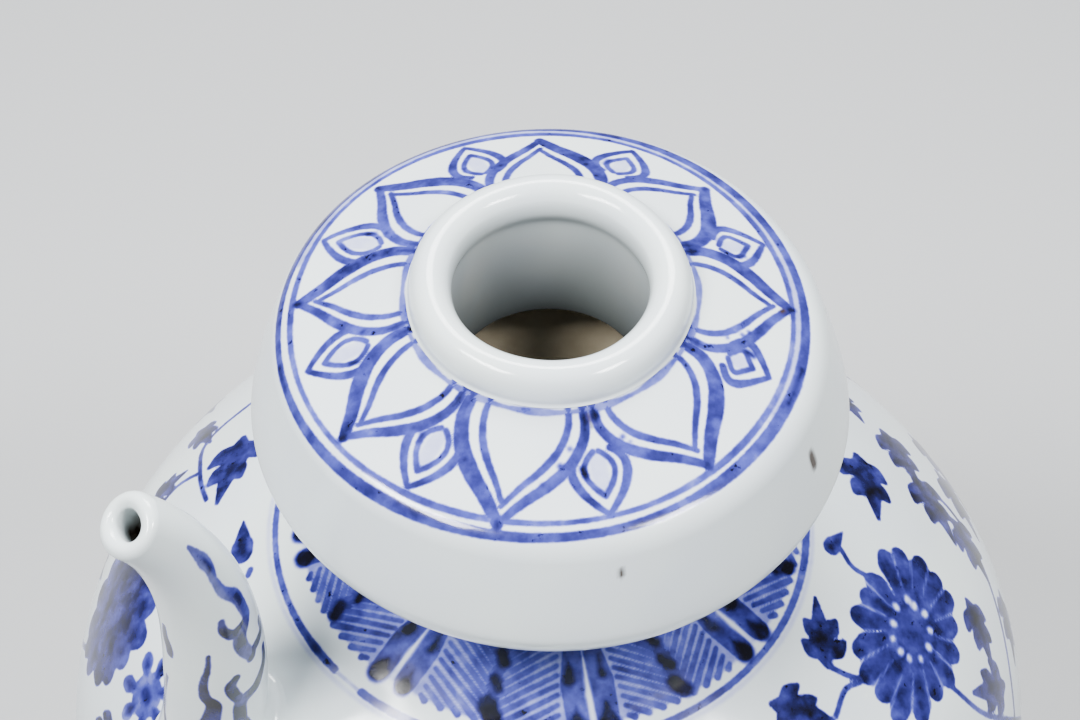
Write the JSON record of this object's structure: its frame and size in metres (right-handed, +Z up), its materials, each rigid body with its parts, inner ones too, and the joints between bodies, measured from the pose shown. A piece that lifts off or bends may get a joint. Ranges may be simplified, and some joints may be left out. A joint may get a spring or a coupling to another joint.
{
  "type": "porcelain spouted ewer",
  "caption": "Round-bellied blue-and-white porcelain ewer with a bulb-shaped head, a rolled mouth and a curved spout.",
  "frame": {"origin": "centre of the foot ring's resting plane, on the body's axis", "axes": "+Z up along the body's axis and out of the mouth, -X towards the spout"},
  "size_m": [0.166, 0.166, 0.1738],
  "materials": {
    "plain_glaze": "white porcelain under a clear glossy glaze, faintly blue where it pools",
    "painted_glaze": "white porcelain painted with cobalt blue flowers under a clear glossy glaze",
    "lotus_glaze": "white porcelain painted with a cobalt blue ring of lotus petals under a clear glossy glaze",
    "spout_glaze": "white porcelain with cobalt blue scrolls under a clear glossy glaze",
    "foot_rim": "glazed outside, with a bare matt rim where it stood in the kiln"
  },
  "bodies": {
    "root": {"foot_ring": "foot_rim", "lower_belly": "painted_glaze", "upper_belly": "painted_glaze", "neck": "plain_glaze", "head_bowl": "plain_glaze", "head_cover": "lotus_glaze", "mouth_ring": "plain_glaze", "spout_left_half": "spout_glaze", "spout_right_half": "spout_glaze"}
  },
  "joints": []
}
